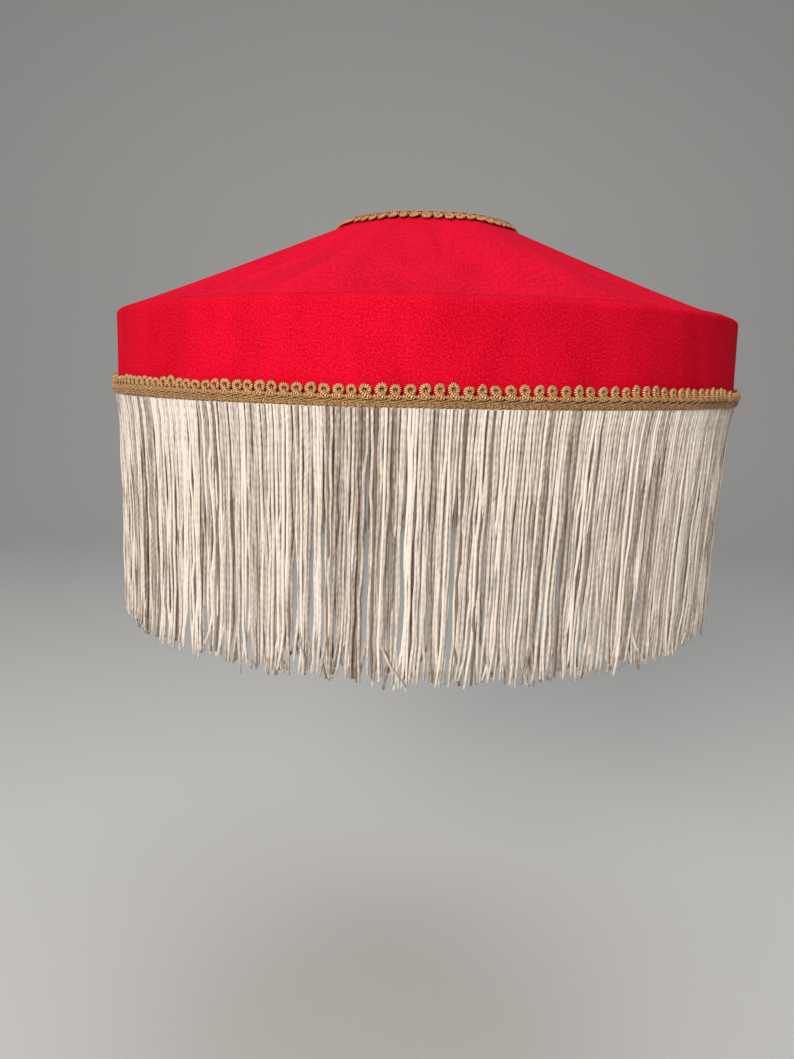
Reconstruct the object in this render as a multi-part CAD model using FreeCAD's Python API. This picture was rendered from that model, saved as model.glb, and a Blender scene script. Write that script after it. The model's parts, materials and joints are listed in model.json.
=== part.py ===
import FreeCAD, Part
import math
import os

# A traditional fringed lamp shade: a wire frame of three rings and butt-welded struts,
# covered in velvet, lined with a cone of satin, trimmed with gimp and a cut fringe.
# It hangs on a gimbal ring that swings between two arms dropped from the top ring.
# Millimetres, +Z up. The origin is the centre of the gimbal ring, in its plane.

# Driving dimensions of the shade
shoulder_diameter = 400.0   # over the velvet at the shoulder ring
hem_diameter = 402.0        # over the velvet at the bottom ring
top_ring_diameter = 103.4   # centre line of the top wire
crown_rise = 60.1           # shoulder wire up to top wire
skirt_drop = 44.7           # shoulder wire down to bottom wire
gimbal_drop = 50.0          # top wire down to the gimbal ring

# Wire frame
strut_count = 8
first_strut_deg = 29.0      # direction of the first strut, from +X
ring_wire = 3.2
strut_wire = 2.6
tape_gap = 0.1              # binding tape round the wire
tape_thickness = 0.4

# Cloth and trim
soft_gap = 0.3              # between two soft layers
velvet = 1.0
satin = 0.5
seam_lap = 4.0              # skirt velvet turned over the shoulder ring, up to the seam
crown_wrap_deg = 112.0      # where the crown velvet ends over the top wire
lining_wrap_deg = 128.0     # where the lining starts over the top wire
lining_turn_deg = 70.0      # how far round the bottom wire the lining stays short of the skirt
gimp_width = 11.0
gimp_thickness = 1.5
gimp_wrap_deg = 103.0       # inner edge of the top gimp over the top wire
header_width = 6.0
header_thickness = 0.6
gimp_lift = 0.7             # bottom gimp's lower edge above the header's
fringe_length = 134.0
fringe_thickness = 3.0
fringe_waist = 3.3          # how far the strands lean in halfway down
fringe_flare = 3.0          # how far inside the header they end

# Gimbal: a flat ring with two upturned ears, a plastic reducer in its bore, two rivets
gimbal_bore = 42.0
gimbal_diameter = 50.0
gimbal_thickness = 1.5
ear_width = 9.0
ear_thickness = 1.5
pivot_height = 5.5          # rivets above the ring's plane
lampholder_bore = 29.0
reducer_clearance = 0.1
reducer_flange = 46.8
reducer_flange_thickness = 1.5
reducer_reach = 0.5         # spigot below the gimbal ring
rivet_diameter = 3.0
rivet_clearance = 0.05      # running clearance in the arm's hole
rivet_head_diameter = 6.0
rivet_head_thickness = 1.2

# Drop arms: a hairpin of wire welded to a lug that the rivet goes through
arm_wire = 3.0
arm_spread_deg = 8.0        # each leg from the pivot axis, at the top ring
lug_gap = 0.3               # between ear, lug and rivet head
lug_thickness = 1.6
lug_height = 8.5            # above the pivot
hairpin_width = 6.0         # between the legs at the lug
hairpin_height = 5.0        # above the pivot
hairpin_bite = 0.5          # weld into the lug

# Neateners: strips that cover the slits where the arms pass the lining
neatener_width_deg = 12.0
neatener_thickness = 0.8
neatener_length = 8.0
neatener_wrap_deg = 142.0

ORIGIN = FreeCAD.Vector(0, 0, 0)
UP = FreeCAD.Vector(0, 0, 1)
OUT = FreeCAD.Vector(0, 1, 0)

# Offsets from a ring wire's centre, one layer over the other
wire_radius = ring_wire / 2
tape_radius = wire_radius + tape_gap + tape_thickness
cloth_offset = tape_radius + soft_gap
velvet_offset = cloth_offset + velvet
trim_offset = velvet_offset + soft_gap
satin_offset = cloth_offset + satin

# Ring centres as (radius, height)
top_wire = (top_ring_diameter / 2, gimbal_drop)
shoulder_wire = (shoulder_diameter / 2 - velvet_offset, gimbal_drop - crown_rise)
bottom_wire = (hem_diameter / 2 - velvet_offset, shoulder_wire[1] - skirt_drop)

# Directions of the three straight runs between rings, in degrees, each taken from the
# upper wire to the lower one; a cloth on a run touches the wires square to it
crown_run_deg = math.degrees(math.atan2(shoulder_wire[1] - top_wire[1], shoulder_wire[0] - top_wire[0]))
skirt_run_deg = math.degrees(math.atan2(bottom_wire[1] - shoulder_wire[1], bottom_wire[0] - shoulder_wire[0]))
lining_run_deg = math.degrees(math.atan2(bottom_wire[1] - top_wire[1], bottom_wire[0] - top_wire[0]))
crown_touch_deg = crown_run_deg + 90
skirt_touch_deg = skirt_run_deg + 90
lining_touch_deg = lining_run_deg + 270
crown_run = math.dist(top_wire, shoulder_wire)

cover_bottom = bottom_wire[1] - cloth_offset
header_bottom = cover_bottom - soft_gap


def flat(point):
    """A (radius, height) pair as a point in the XZ plane."""
    return FreeCAD.Vector(point[0], 0, point[1])


def around(centre, radius, angle_deg):
    """The (radius, height) pair at a distance and an angle from another, as round a wire."""
    angle = math.radians(angle_deg)
    return (centre[0] + radius * math.cos(angle), centre[1] + radius * math.sin(angle))


def wrap_edges(wraps, offset, lead_in, lead_out, end_height):
    """Edges of a line that wraps the wires in turn at one offset, with straight ends. The
    last end is a length from where the line leaves the wire, or runs down to a height."""
    edges = []
    last = None
    for number, (centre, start_deg, end_deg) in enumerate(wraps):
        turn = 90 if end_deg > start_deg else -90
        begin = around(centre, offset, start_deg)
        if number == 0 and lead_in > 0:
            last = around(begin, -lead_in, start_deg + turn)
        if last is not None:
            edges.append(Part.LineSegment(flat(last), flat(begin)).toShape())
        middle = around(centre, offset, (start_deg + end_deg) / 2)
        last = around(centre, offset, end_deg)
        edges.append(Part.Arc(flat(begin), flat(middle), flat(last)).toShape())
    if end_height is not None:
        lead_out = (end_height - last[1]) / math.sin(math.radians(end_deg + turn))
    if lead_out > 0:
        tip = around(last, lead_out, end_deg + turn)
        edges.append(Part.LineSegment(flat(last), flat(tip)).toShape())
    return edges


def band_face(wraps, inner, outer, lead_in=0.0, lead_out=0.0, end_height=None):
    """A strip of cloth in section, between two offsets from the wires that it wraps."""
    near = Part.Wire(wrap_edges(wraps, inner, lead_in, lead_out, end_height))
    far = Part.Wire(wrap_edges(wraps, outer, lead_in, lead_out, end_height))
    first = Part.LineSegment(near.OrderedVertexes[0].Point, far.OrderedVertexes[0].Point).toShape()
    last = Part.LineSegment(near.OrderedVertexes[-1].Point, far.OrderedVertexes[-1].Point).toShape()
    edges = near.Edges + far.Edges + [first, last]
    return Part.Face(Part.Wire(Part.__sortEdges__(edges)))


def polygon_face(points):
    return Part.Face(Part.makePolygon([flat(p) for p in points] + [flat(points[0])]))


def spun(face):
    return face.revolve(ORIGIN, UP, 360)


def spun_arc(face, middle_deg, width_deg):
    turned = face.copy()
    turned.rotate(ORIGIN, UP, middle_deg - width_deg / 2)
    return turned.revolve(ORIGIN, UP, width_deg)


def placed(point, angle_deg):
    """A (radius, height) pair at a direction round the shade."""
    angle = math.radians(angle_deg)
    return FreeCAD.Vector(point[0] * math.cos(angle), point[0] * math.sin(angle), point[1])


def rod(start, end, diameter):
    return Part.makeCylinder(diameter / 2, (end - start).Length, start, end - start)


def ring(wire, radius):
    return Part.makeTorus(wire[0], radius, FreeCAD.Vector(0, 0, wire[1]), UP)


def sleeve(wire, inner, outer):
    """A tube bent round with a ring's wire, between two radii from its centre."""
    rims = [Part.Wire(Part.makeCircle(radius, flat(wire), OUT)) for radius in (outer, inner)]
    disc = Part.Face(rims[0])
    return spun(disc.cut(Part.Face(rims[1])).Faces[0])


def skirt_radius(offset, height):
    """Radius of a surface at an offset outside the line of the skirt's wires."""
    lean = (bottom_wire[0] - shoulder_wire[0]) / skirt_drop
    return shoulder_wire[0] + lean * (shoulder_wire[1] - height) + offset * math.hypot(1, lean)


def skirt_band(inner, outer, bottom, width):
    top = bottom + width
    corners = [(inner, bottom), (outer, bottom), (outer, top), (inner, top)]
    return spun(polygon_face([(skirt_radius(offset, height), height) for offset, height in corners]))


def strut_directions():
    return [first_strut_deg + number * 360.0 / strut_count for number in range(strut_count)]


def strut(upper, lower, angle_deg, diameter):
    return rod(placed(upper, angle_deg), placed(lower, angle_deg), diameter)


def frame():
    """Three rings, and struts that butt against them."""
    parts = {
        "top_ring": ring(top_wire, wire_radius),
        "shoulder_ring": ring(shoulder_wire, wire_radius),
        "bottom_ring": ring(bottom_wire, wire_radius),
    }
    for number, angle in enumerate(strut_directions(), 1):
        crown = strut(top_wire, shoulder_wire, angle, strut_wire)
        crown = crown.cut([parts["top_ring"], parts["shoulder_ring"]])
        skirt = strut(shoulder_wire, bottom_wire, angle, strut_wire)
        parts[f"crown_strut_{number}"] = crown
        parts[f"skirt_strut_{number}"] = skirt.cut([parts["shoulder_ring"], parts["bottom_ring"], crown])
    return parts


# Places along the pivot axis, from the centre outwards
ear_face = gimbal_diameter / 2
lug_face = ear_face + ear_thickness + lug_gap
lug_back = lug_face + lug_thickness
rivet_seat = lug_back + lug_gap
hairpin_out = lug_back + arm_wire / 2 - hairpin_bite

PIVOT_SIDES = {"front": -1, "back": 1}


def on_side(shape, side):
    """A piece drawn on the +Y side, or turned half round to the -Y side."""
    copy = shape.copy()
    if side < 0:
        copy.rotate(ORIGIN, UP, 180)
    return copy


def arm_legs(diameter):
    """The two legs of one hairpin, from the lug up to the top ring."""
    legs = []
    for hand in (-1, 1):
        foot = FreeCAD.Vector(hand * hairpin_width / 2, hairpin_out, pivot_height + hairpin_height)
        legs.append(rod(foot, placed(top_wire, 90 - hand * arm_spread_deg), diameter))
    return legs


def drop_arm():
    """A hairpin with rounded corners on a lug with a round foot and the rivet's hole."""
    radius = arm_wire / 2
    left = FreeCAD.Vector(-hairpin_width / 2, hairpin_out, pivot_height + hairpin_height)
    right = FreeCAD.Vector(hairpin_width / 2, hairpin_out, pivot_height + hairpin_height)
    pivot = FreeCAD.Vector(0, lug_face, pivot_height)
    foot = Part.makeCylinder(ear_width / 2, lug_thickness, pivot, OUT)
    corner = FreeCAD.Vector(-ear_width / 2, lug_face, pivot_height)
    plate = Part.makeBox(ear_width, lug_thickness, lug_height, corner)
    bend = [Part.makeSphere(radius, left), Part.makeSphere(radius, right), rod(left, right, arm_wire)]
    arm = plate.fuse([foot] + bend + arm_legs(arm_wire))
    hole_radius = rivet_diameter / 2 + rivet_clearance
    hole = Part.makeCylinder(hole_radius, lug_thickness, pivot, OUT)
    return arm.cut([hole, ring(top_wire, wire_radius)]).removeSplitter()


def gimbal_ring():
    """A flat ring with an upturned ear at each end of the pivot axis."""
    base = FreeCAD.Vector(0, 0, -gimbal_thickness / 2)
    washer = Part.makeCylinder(gimbal_diameter / 2, gimbal_thickness, base, UP)
    tabs = []
    for side in PIVOT_SIDES.values():
        corner = FreeCAD.Vector(-ear_width / 2, 0, -gimbal_thickness / 2)
        tab = Part.makeBox(ear_width, ear_face + ear_thickness, gimbal_thickness, corner)
        corner = FreeCAD.Vector(-ear_width / 2, ear_face, -gimbal_thickness / 2)
        ear = Part.makeBox(ear_width, ear_thickness, pivot_height + gimbal_thickness / 2, corner)
        pivot = FreeCAD.Vector(0, ear_face, pivot_height)
        head = Part.makeCylinder(ear_width / 2, ear_thickness, pivot, OUT)
        hole = Part.makeCylinder(rivet_diameter / 2, ear_thickness, pivot, OUT)
        tabs.append(on_side(tab.fuse([ear, head]).cut(hole), side))
    bore = Part.makeCylinder(gimbal_bore / 2, gimbal_thickness, base, UP)
    return washer.fuse(tabs).cut(bore).removeSplitter()


def reducer_ring():
    """A plastic ring that sits in the gimbal's bore and brings it down to the lampholder."""
    foot = FreeCAD.Vector(0, 0, -gimbal_thickness / 2 - reducer_reach)
    seat = FreeCAD.Vector(0, 0, gimbal_thickness / 2)
    spigot_length = gimbal_thickness + reducer_reach
    spigot = Part.makeCylinder(gimbal_bore / 2 - reducer_clearance, spigot_length, foot, UP)
    flange = Part.makeCylinder(reducer_flange / 2, reducer_flange_thickness, seat, UP)
    bore = Part.makeCylinder(lampholder_bore / 2, spigot_length + reducer_flange_thickness, foot, UP)
    return spigot.fuse(flange).cut(bore).removeSplitter()


def pivot_rivet():
    """A rivet held in the gimbal's ear, with its far head just clear of the lug."""
    inner = FreeCAD.Vector(0, ear_face - rivet_head_thickness, pivot_height)
    shank = FreeCAD.Vector(0, ear_face, pivot_height)
    outer = FreeCAD.Vector(0, rivet_seat, pivot_height)
    return Part.makeCylinder(rivet_diameter / 2, rivet_seat - ear_face, shank, OUT).fuse([
        Part.makeCylinder(rivet_head_diameter / 2, rivet_head_thickness, inner, OUT),
        Part.makeCylinder(rivet_head_diameter / 2, rivet_head_thickness, outer, OUT),
    ]).removeSplitter()


def arm_slots():
    """Room round every leg of both hairpins, for the cloth that they pass."""
    room = arm_wire + 2 * soft_gap
    return [on_side(leg, side) for side in PIVOT_SIDES.values() for leg in arm_legs(room)]


def binding_tapes():
    """Cotton tape wound round each ring, parted where wires are welded on."""
    room = strut_wire + 2 * soft_gap
    crown = [strut(top_wire, shoulder_wire, angle, room) for angle in strut_directions()]
    skirt = [strut(shoulder_wire, bottom_wire, angle, room) for angle in strut_directions()]
    welds = {
        "top_ring_tape": (top_wire, crown + arm_slots()),
        "shoulder_ring_tape": (shoulder_wire, crown + skirt),
        "bottom_ring_tape": (bottom_wire, skirt),
    }
    parts = {}
    for name, (wire, wires) in welds.items():
        parts[name] = sleeve(wire, wire_radius + tape_gap, tape_radius).cut(wires)
    return parts


def covers():
    """Velvet on the crown and the skirt, and the satin cone inside."""
    crown = band_face([(top_wire, crown_wrap_deg, crown_touch_deg)], cloth_offset, velvet_offset,
                      lead_out=crown_run - seam_lap - soft_gap)
    skirt = band_face([(shoulder_wire, crown_touch_deg, skirt_touch_deg)], cloth_offset, velvet_offset,
                      lead_in=seam_lap, end_height=cover_bottom)
    lining_end_deg = skirt_touch_deg + 360 - lining_turn_deg
    lining = band_face([(top_wire, lining_wrap_deg, lining_touch_deg),
                        (bottom_wire, lining_touch_deg, lining_end_deg)], cloth_offset, satin_offset)
    return {
        "crown_cover": spun(crown),
        "skirt_cover": spun(skirt),
        "lining": spun(lining).cut(arm_slots()),
    }


def neateners():
    """A short strip of satin under each leg of the arms, slit round the wire."""
    face = band_face([(top_wire, neatener_wrap_deg, lining_touch_deg)], satin_offset + soft_gap,
                     satin_offset + soft_gap + neatener_thickness, lead_out=neatener_length)
    slots = arm_slots()
    parts = {}
    middles = [90 * side + hand * arm_spread_deg for side in PIVOT_SIDES.values() for hand in (-1, 1)]
    for number, middle in enumerate(middles, 1):
        parts[f"neatener_{number}"] = spun_arc(face, middle, neatener_width_deg).cut(slots)
    return parts


def fringe():
    """Hanging strands as one closed sleeve, leaning in a little and out again."""
    top = skirt_radius(trim_offset + header_thickness, header_bottom)
    bottom = header_bottom - fringe_length
    middle = (header_bottom + bottom) / 2
    outer = [(top, header_bottom), (top - fringe_waist, middle), (top - fringe_flare, bottom)]
    inner = [(radius - fringe_thickness, height) for radius, height in outer]
    edges = [
        Part.Arc(*[flat(point) for point in outer]).toShape(),
        Part.Arc(*[flat(point) for point in inner]).toShape(),
        Part.LineSegment(flat(outer[0]), flat(inner[0])).toShape(),
        Part.LineSegment(flat(outer[2]), flat(inner[2])).toShape(),
    ]
    return spun(Part.Face(Part.Wire(Part.__sortEdges__(edges))))


def trims():
    """Gimp over the top ring and over the hem, and the fringe hung under the hem gimp."""
    crest_offset = trim_offset + gimp_thickness
    arc_length = math.radians(gimp_wrap_deg - crown_touch_deg) * (trim_offset + gimp_thickness / 2)
    top_gimp = band_face([(top_wire, gimp_wrap_deg, crown_touch_deg)], trim_offset, crest_offset,
                         lead_out=gimp_width - arc_length)
    hem_offset = trim_offset + header_thickness + soft_gap
    return {
        "top_gimp": spun(top_gimp),
        "fringe_header": skirt_band(trim_offset, trim_offset + header_thickness, header_bottom, header_width),
        "bottom_gimp": skirt_band(hem_offset, hem_offset + gimp_thickness,
                                  header_bottom + gimp_lift, gimp_width),
        "fringe": fringe(),
    }


def fitter():
    parts = {"gimbal_ring": gimbal_ring(), "reducer_ring": reducer_ring()}
    for name, side in PIVOT_SIDES.items():
        parts[f"pivot_rivet_{name}"] = on_side(pivot_rivet(), side)
        parts[f"drop_arm_{name}"] = on_side(drop_arm(), side)
    return parts


os.makedirs("parts", exist_ok=True)
for group in (frame(), fitter(), binding_tapes(), covers(), neateners(), trims()):
    for name, shape in group.items():
        shape.exportStep(f"parts/{name}.step")
        print(name, len(shape.Solids), round(shape.Volume, 1), "mm3", "ok" if shape.isValid() else "INVALID")
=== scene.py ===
# %% [markdown]
# # A fringed lamp shade in red velvet
# The shade is a wire frame of three rings and eight struts. Velvet is stretched over its
# crown and its short skirt, satin lines it, gimp braid hides the edges of the cloth, and a
# cut fringe hangs below. It swings on a gimbal ring that fits over a lampholder.
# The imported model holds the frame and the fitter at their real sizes. This script leaves
# them where they are and makes everything soft, then gives every surface its finish.

# %% The frame
import json
from math import atan2, cos, hypot, pi, radians, sin

import bpy
import numpy as np
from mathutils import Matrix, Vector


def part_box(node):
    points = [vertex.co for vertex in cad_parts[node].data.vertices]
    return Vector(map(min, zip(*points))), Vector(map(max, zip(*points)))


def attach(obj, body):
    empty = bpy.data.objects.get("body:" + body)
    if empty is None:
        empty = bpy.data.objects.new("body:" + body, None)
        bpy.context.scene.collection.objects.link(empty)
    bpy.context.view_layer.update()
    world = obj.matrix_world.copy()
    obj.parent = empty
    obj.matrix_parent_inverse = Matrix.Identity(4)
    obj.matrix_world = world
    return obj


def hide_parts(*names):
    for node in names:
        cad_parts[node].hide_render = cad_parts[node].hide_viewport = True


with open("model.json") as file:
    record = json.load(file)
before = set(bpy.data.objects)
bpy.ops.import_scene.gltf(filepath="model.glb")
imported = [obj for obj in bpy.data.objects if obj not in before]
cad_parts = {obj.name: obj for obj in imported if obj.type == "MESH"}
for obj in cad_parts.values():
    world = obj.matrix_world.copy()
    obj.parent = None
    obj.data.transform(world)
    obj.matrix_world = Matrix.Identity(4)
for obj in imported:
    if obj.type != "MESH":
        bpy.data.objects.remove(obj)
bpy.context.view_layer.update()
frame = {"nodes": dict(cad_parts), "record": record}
nodes = frame["nodes"]
MM = 0.001

# %% [markdown]
# ## Where things are
# Every soft piece wraps a ring of wire, so the first values are the three rings: how far
# the middle of the wire is from the axis, and how high. They are read from the model, and
# so are the offsets of the cloth from the wire, which keeps cloth and frame together.


# %% Rings and offsets
def wire_of(node):
    """Radius and height of a ring's centre line."""
    low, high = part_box(node)
    return high.x - (high.z - low.z) / 2, (low.z + high.z) / 2


top_radius, top_height = wire_of("top_ring")
shoulder_radius, shoulder_height = wire_of("shoulder_ring")
bottom_radius, bottom_height = wire_of("bottom_ring")
velvet = 1.0 * MM
soft_gap = 0.3 * MM
velvet_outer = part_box("shoulder_ring_tape")[1].x - shoulder_radius + soft_gap + velvet
satin = 0.5 * MM
cloth_inner = velvet_outer - velvet
satin_outer = cloth_inner + satin
crown_run = atan2(shoulder_height - top_height, shoulder_radius - top_radius)
skirt_run = atan2(bottom_height - shoulder_height, bottom_radius - shoulder_radius)
lining_run = atan2(bottom_height - top_height, bottom_radius - top_radius)
crown_touch = crown_run + pi / 2
skirt_touch = skirt_run + pi / 2
lining_touch = lining_run + 3 * pi / 2
crown_length = hypot(shoulder_radius - top_radius, shoulder_height - top_height)
first_strut = radians(29.0)
STRUTS = 8
print("rings in mm:", [round(v / MM, 2) for v in (top_radius, shoulder_radius, bottom_radius)])
print("velvet lies", round(velvet_outer / MM, 2), "mm outside the middle of the wire")

# %% [markdown]
# ## Camera
# The camera stands a little below the shoulder and looks slightly down, about 0.6 m from
# the shade. The lamp's shade hangs a degree out of true, so the camera is turned by that
# degree instead, and the model stays upright.

# %% The camera
bpy.ops.object.camera_add(location=(0.0017, -0.5797, -0.0411),
                          rotation=(radians(79.15), radians(-1.20), radians(1.95)))
camera = bpy.context.object
camera.name = "camera"
camera.data.sensor_width = 36.0
camera.data.lens = 27.88
bpy.context.scene.camera = camera
print("camera lens", camera.data.lens, "mm")

# %% [markdown]
# ## Floor and light
# The shade is shown alone over a pale floor, as high as a table lamp holds it. The floor
# turns up into a wall behind, so that no horizon cuts the picture. One large soft light
# stands at the front and a little to the left, a weak one fills the right side, and one
# above keeps the crown bright.


# %% Colours
def colour(code):
    """An sRGB hex code as linear red, green, blue and alpha."""
    values = [int(code[i:i + 2], 16) / 255 for i in (1, 3, 5)]
    return tuple(v / 12.92 if v <= 0.04045 else ((v + 0.055) / 1.055) ** 2.4 for v in values) + (1.0,)


# %% A node with its settings and links
def add(tree, kind, inputs=(), **settings):
    """Adds one shader node. inputs holds values, or other nodes' outputs to link."""
    node = tree.nodes.new(kind)
    for name, value in settings.items():
        setattr(node, name, value)
    for name, value in dict(inputs).items():
        if isinstance(value, bpy.types.NodeSocket):
            tree.links.new(value, node.inputs[name])
        else:
            node.inputs[name].default_value = value
    return node


def ramp(tree, factor, first, last, *between):
    """The colours of a ramp. Each stop is a position and a hex code."""
    node = add(tree, "ShaderNodeValToRGB", {"Fac": factor})
    stops = node.color_ramp.elements
    for stop, (position, code) in zip(stops, (first, last)):
        stop.position, stop.color = position, colour(code)
    for position, code in between:
        stops.new(position).color = colour(code)
    return node.outputs["Color"]


def new_material(name):
    """An empty material, its node tree and its output node."""
    material = bpy.data.materials.new(name)
    material.use_nodes = True
    material.node_tree.nodes.clear()
    return material, material.node_tree, add(material.node_tree, "ShaderNodeOutputMaterial")


# %% Floor and wall
def deselect():
    """Goes back to object mode with nothing selected."""
    if bpy.context.mode != "OBJECT":
        bpy.ops.object.mode_set(mode="OBJECT")
    bpy.ops.object.select_all(action="DESELECT")


def pick(*pieces):
    """Selects pieces and makes the first one active."""
    deselect()
    for piece in pieces:
        piece.select_set(True)
    bpy.context.view_layer.objects.active = pieces[0]


lamp_height = 0.540
table_height = shoulder_height - lamp_height
deselect()
bpy.ops.mesh.primitive_plane_add(size=6.0, location=(0, 0, table_height))
floor = bpy.context.object
floor.name = "floor"
bpy.ops.object.transform_apply(location=True, rotation=False, scale=False)
bpy.ops.object.mode_set(mode="EDIT")
bpy.ops.mesh.select_mode(type="EDGE")
bpy.ops.mesh.select_all(action="DESELECT")
bpy.ops.object.mode_set(mode="OBJECT")
for edge in floor.data.edges:
    edge.select = all(floor.data.vertices[v].co.y > 2.9 for v in edge.vertices)
bpy.ops.object.mode_set(mode="EDIT")
bpy.ops.mesh.extrude_region_move(TRANSFORM_OT_translate={"value": (0, 0, 5.0)})
bpy.ops.object.mode_set(mode="OBJECT")
bend = floor.modifiers.new("soft corner", "BEVEL")
bend.width, bend.segments, bend.limit_method = 1.2, 16, "ANGLE"
bpy.ops.object.modifier_apply(modifier=bend.name)
bpy.ops.object.shade_smooth()
paper, tree, out = new_material("matt_painted_backdrop")
shade = add(tree, "ShaderNodeBsdfPrincipled", {"Base Color": colour("#E8E7E4"), "Roughness": 0.9})
tree.links.new(shade.outputs[0], out.inputs[0])
floor.data.materials.append(paper)
print("floor", round((bottom_height - table_height) / MM), "mm below the hem")


# %% Lights
def soft_light(name, place, aim, size, power, tint):
    """A square area light that looks at a point."""
    deselect()
    bpy.ops.object.light_add(type="AREA", location=place)
    light = bpy.context.object
    light.name = name
    light.data.size = size
    light.data.energy = power
    light.data.color = colour(tint)[:3]
    away = np.array(place) - np.array(aim)
    light.rotation_euler = (atan2(hypot(away[0], away[1]), away[2]), 0, atan2(away[0], -away[1]))


middle = (0.0, 0.0, -0.06)
soft_light("key_left", (-0.68, -1.85, 0.70), middle, 0.9, 34.0, "#FFFAF4")
soft_light("fill_right", (1.70, -0.90, 0.30), middle, 1.6, 0.5, "#F4F7FF")
soft_light("top", (0.1, 0.1, 1.60), middle, 1.4, 12.5, "#FFFFFF")
world = bpy.data.worlds.new("studio")
bpy.context.scene.world = world
world.use_nodes = True
world.node_tree.nodes["Background"].inputs["Color"].default_value = colour("#DDE2E8")
world.node_tree.nodes["Background"].inputs["Strength"].default_value = 0.20
bpy.context.scene.view_settings.view_transform = "Standard"
print("three soft lights")

# %% [markdown]
# ## Finishes of the frame and the fitter
# The wires are steel with white epoxy baked on, which flows into a smooth skin with a
# faint orange-peel ripple. The reducer is moulded nylon, the rivets are zinc plated, and
# cotton tape is wound round each ring so that the covers can be stitched to it.


# %% Wire, plastic, rivets and tape
def rippled(name, base, worn, roughness, metallic, grain, height, sheen=0.0):
    """A finish whose colour and roughness drift a little over the piece, with a fine ripple."""
    material, tree, out = new_material(name)
    place = add(tree, "ShaderNodeTexCoord").outputs["Object"]
    patches = add(tree, "ShaderNodeTexNoise", {"Vector": place, "Scale": 60.0, "Detail": 4.0})
    tone = ramp(tree, patches.outputs["Fac"], (0.35, worn), (0.60, base))
    gloss = add(tree, "ShaderNodeMapRange", {
        "Value": patches.outputs["Fac"], "From Min": 0.3, "From Max": 0.7,
        "To Min": roughness * 1.2, "To Max": roughness * 0.85})
    fine = add(tree, "ShaderNodeTexNoise", {"Vector": place, "Scale": grain, "Detail": 3.0})
    bump = add(tree, "ShaderNodeBump", {"Height": fine.outputs["Fac"], "Strength": 0.5, "Distance": height})
    shader = add(tree, "ShaderNodeBsdfPrincipled", {
        "Base Color": tone, "Roughness": gloss.outputs["Result"], "Metallic": metallic,
        "Normal": bump.outputs["Normal"], "Sheen Weight": sheen})
    tree.links.new(shader.outputs[0], out.inputs[0])
    return material


epoxy = rippled("epoxy_coated_wire", "#E9E6DE", "#DCD8CC", 0.30, 0.0, 900.0, 0.02 * MM)
nylon = rippled("moulded_nylon", "#E8E5DC", "#E0DCD1", 0.42, 0.0, 2600.0, 0.01 * MM)
zinc = rippled("zinc_plated_steel", "#C9C6BC", "#B0ACA0", 0.32, 1.0, 1500.0, 0.01 * MM)
cotton = rippled("wound_cotton_tape", "#E6DCC6", "#D8CBB0", 0.85, 0.0, 2500.0, 0.08 * MM, 0.2)
finishes = {"coated_wire": epoxy, "moulded_plastic": nylon, "plated_rivet": zinc, "cotton_tape": cotton}
for part in frame["record"]["subparts"]:
    if part["material_slot"] in finishes:
        mesh = nodes[part["node"]].data
        mesh.materials.clear()
        mesh.materials.append(finishes[part["material_slot"]])
print("finishes:", sorted(finishes))

# %% [markdown]
# ## Velvet
# Velvet is a cut pile: short threads stand on end, so light grazes along their sides and
# the cloth glows where it turns away. That glow is sheen. Where the nap has been brushed
# another way the same red looks deeper, in soft marks that run up and down the cloth.


# %% Velvet
def velvet_finish(name, deep, bright, lit_tips, streak_length, streak_width, tuft_length):
    """Red pile with brushed nap marks, by the piece's UV in metres; pale specks are painted highlights on the
    tips of the pile and deep red ones painted shade at its roots.
    """
    material, tree, out = new_material(name)
    cloth = add(tree, "ShaderNodeUVMap", uv_map="cloth").outputs["UV"]
    brushed = add(tree, "ShaderNodeMapping", {
        "Vector": cloth, "Scale": (1 / streak_width, 1 / streak_length, 1)})
    marks = add(tree, "ShaderNodeTexNoise", {"Vector": brushed.outputs[0], "Scale": 1.0, "Detail": 3.0,
                                             "Roughness": 0.6, "Distortion": 0.3})
    nap = ramp(tree, marks.outputs["Fac"], (0.32, deep), (0.62, bright))
    # Single tufts are 0.1 mm; they are drawn as specks 0.9 mm wide, so that they show. Pale specks are
    # painted highlights where the pile catches light, and deep red specks painted shade in its hollows.
    tuft_width = 0.9 * MM
    tufts = add(tree, "ShaderNodeMapping", {"Vector": cloth, "Scale": (1 / tuft_width, 1 / tuft_length, 1)})
    pile = add(tree, "ShaderNodeTexNoise", {"Vector": tufts.outputs[0], "Scale": 1.0, "Detail": 3.0,
                                            "Roughness": 0.75})
    # Where the pile noise is high, the tip colour is mixed in as a painted highlight.
    lit_tip_mask = add(tree, "ShaderNodeMapRange", {"Value": pile.outputs["Fac"], "From Min": 0.50,
                                             "From Max": 0.74, "To Max": 0.60})
    # Where it is low, deep red #A80016 is mixed in as painted shade in the hollows of the pile.
    root_shade_mask = add(tree, "ShaderNodeMapRange", {"Value": pile.outputs["Fac"], "From Min": 0.48,
                                            "From Max": 0.30, "To Max": 0.55})
    shaded_roots = add(tree, "ShaderNodeMix", {0: root_shade_mask.outputs["Result"], 6: nap, 7: colour("#A80016")},
                data_type="RGBA")
    tone = add(tree, "ShaderNodeMix", {0: lit_tip_mask.outputs["Result"], 6: shaded_roots.outputs[2], 7: colour(lit_tips)},
               data_type="RGBA")
    bump = add(tree, "ShaderNodeBump", {
        "Height": pile.outputs["Fac"], "Strength": 0.6, "Distance": 0.35 * MM})
    shader = add(tree, "ShaderNodeBsdfPrincipled", {
        "Base Color": tone.outputs[2], "Roughness": 0.85, "Normal": bump.outputs["Normal"],
        "Specular IOR Level": 0.03, "Sheen Weight": 0.015, "Sheen Roughness": 0.35,
        "Sheen Tint": colour("#FF4A68")})
    tree.links.new(shader.outputs[0], out.inputs[0])
    return material


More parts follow.
